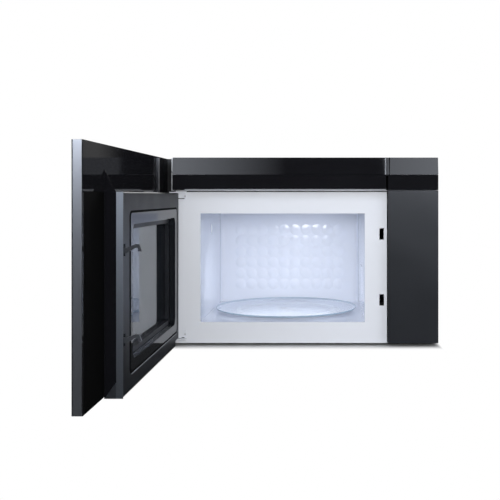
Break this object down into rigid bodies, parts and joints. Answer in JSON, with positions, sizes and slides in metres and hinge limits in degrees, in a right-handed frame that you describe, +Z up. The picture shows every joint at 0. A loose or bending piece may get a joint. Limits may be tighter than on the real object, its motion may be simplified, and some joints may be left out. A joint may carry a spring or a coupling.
{
  "type": "over-the-range microwave oven",
  "caption": "Black over-the-range hood microwave with full-width side-hinged glass door, white cavity with embossed back wall, glass turntable and recessed door window",
  "frame": {"origin": "middle of the rear face, which lies against the wall", "axes": "+X to the right seen from the front, +Y into the wall, +Z up"},
  "size_m": [0.604, 0.9309, 0.4021],
  "materials": {
    "black_paint": "satin black powder coat",
    "white_enamel": "smooth white enamel",
    "gloss_black": "mirror gloss black",
    "satin_black": "satin black moulding",
    "dark_grey": "satin dark grey moulding",
    "black_plastic": "moulded black plastic",
    "dark_glass": "tinted black glass",
    "window_glass": "clear glass",
    "tray_glass": "clear pressed glass",
    "zinc_steel": "zinc plated steel",
    "bright_steel": "bright plated steel",
    "aluminium": "bare aluminium",
    "mica": "pressed mica sheet",
    "circuit_green": "circuit board",
    "copper_winding": "varnished copper winding",
    "core_iron": "laminated iron",
    "white_plastic": "white moulded plastic",
    "rubber": "moulded rubber",
    "filter_mesh": "layered aluminium mesh",
    "charcoal": "charcoal felt"
  },
  "bodies": {
    "cabinet": {"outer_cabinet": "black_paint", "rear_panel": "zinc_steel", "hinge_pocket": "black_paint", "cord_inlet": "rubber", "front_plate": "white_enamel", "cavity_shell": "white_enamel", "waveguide_cover": "mica", "lower_top_trim": "gloss_black", "upper_top_trim": "gloss_black", "upper_trim_end": "gloss_black", "right_trim": "satin_black", "upper_hinge_bracket": "white_enamel", "lower_hinge_bracket": "white_enamel", "hinge_pins": "bright_steel", "bracket_rivets": "zinc_steel", "interlock_bracket": "black_plastic", "interlock_switches": "black_plastic", "turntable_motor": "zinc_steel", "waveguide": "aluminium", "magnetron": "zinc_steel", "transformer_core": "core_iron", "transformer_windings": "copper_winding", "capacitor": "aluminium", "control_board": "circuit_green", "board_standoffs": "white_plastic", "cooling_fan_motor": "zinc_steel", "cooling_fan_shroud": "black_plastic", "blower_motor": "zinc_steel", "blower_cradle": "zinc_steel", "blower_housings": "zinc_steel", "charcoal_filter": "charcoal", "base_plate": "black_paint", "left_grease_filter": "filter_mesh", "right_grease_filter": "filter_mesh", "left_cooktop_lens": "window_glass", "right_cooktop_lens": "window_glass", "case_screws": "zinc_steel", "cavity_lamp": "window_glass"},
    "door": {"door_panel_frame": "gloss_black", "door_front_glass": "dark_glass", "touch_board": "circuit_green", "choke_frame": "black_paint", "inner_door_cover": "dark_grey", "window_glass": "window_glass", "door_screen": "black_paint", "latch_spring": "bright_steel"},
    "latch": {"latch_bar": "black_plastic"},
    "turntable": {"turntable_coupler": "white_plastic", "glass_tray": "tray_glass"},
    "roller_carrier": {"roller_ring": "white_plastic"},
    "roller_1": {"tray_roller_1": "white_plastic"},
    "roller_2": {"tray_roller_2": "white_plastic"},
    "roller_3": {"tray_roller_3": "white_plastic"},
    "cooling_fan": {"cooling_fan_blade": "white_plastic"},
    "hood_wheels": {"blower_wheels": "zinc_steel"}
  },
  "joints": [
    {"name": "door_hinge", "type": "hinge", "parent": "cabinet", "child": "door", "pos_m": [-0.265, -0.365, 0], "axis": [0, 0, -1], "range_deg": [-90.3, 9.7]},
    {"name": "latch_slide", "type": "slide", "parent": "door", "child": "latch", "axis": [0, 0, 1], "range_m": [0, 0.005], "stiffness_N_per_m": 300, "deforming": ["latch_spring"]},
    {"name": "turntable_spin", "type": "hinge", "parent": "cabinet", "child": "turntable", "pos_m": [-0.03225, -0.1825, -0.1545], "axis": [0, 0, 1], "continuous": true},
    {"name": "roller_ring_spin", "type": "hinge", "parent": "cabinet", "child": "roller_carrier", "pos_m": [-0.03225, -0.1825, -0.1512], "axis": [0, 0, 1], "continuous": true},
    {"name": "roller_1_spin", "type": "hinge", "parent": "roller_carrier", "child": "roller_1", "pos_m": [0.08875, -0.1825, -0.1512], "axis": [1, 0, 0], "continuous": true},
    {"name": "roller_2_spin", "type": "hinge", "parent": "roller_carrier", "child": "roller_2", "pos_m": [-0.09275, -0.07771, -0.1512], "axis": [-0.5, 0.866, 0], "continuous": true},
    {"name": "roller_3_spin", "type": "hinge", "parent": "roller_carrier", "child": "roller_3", "pos_m": [-0.09275, -0.28729, -0.1512], "axis": [-0.5, -0.866, 0], "continuous": true},
    {"name": "cooling_fan_spin", "type": "hinge", "parent": "cabinet", "child": "cooling_fan", "pos_m": [0.224, -0.03, -0.06], "axis": [0, 1, 0], "continuous": true},
    {"name": "hood_blower_spin", "type": "hinge", "parent": "cabinet", "child": "hood_wheels", "pos_m": [0, -0.12, 0.1396], "axis": [1, 0, 0], "continuous": true}
  ],
  "couplings": [
    {"joint": "roller_ring_spin", "follows": "turntable_spin", "ratio": 0.5},
    {"joint": "roller_1_spin", "follows": "turntable_spin", "ratio": -20.167},
    {"joint": "roller_2_spin", "follows": "turntable_spin", "ratio": -20.167},
    {"joint": "roller_3_spin", "follows": "turntable_spin", "ratio": -20.167}
  ]
}
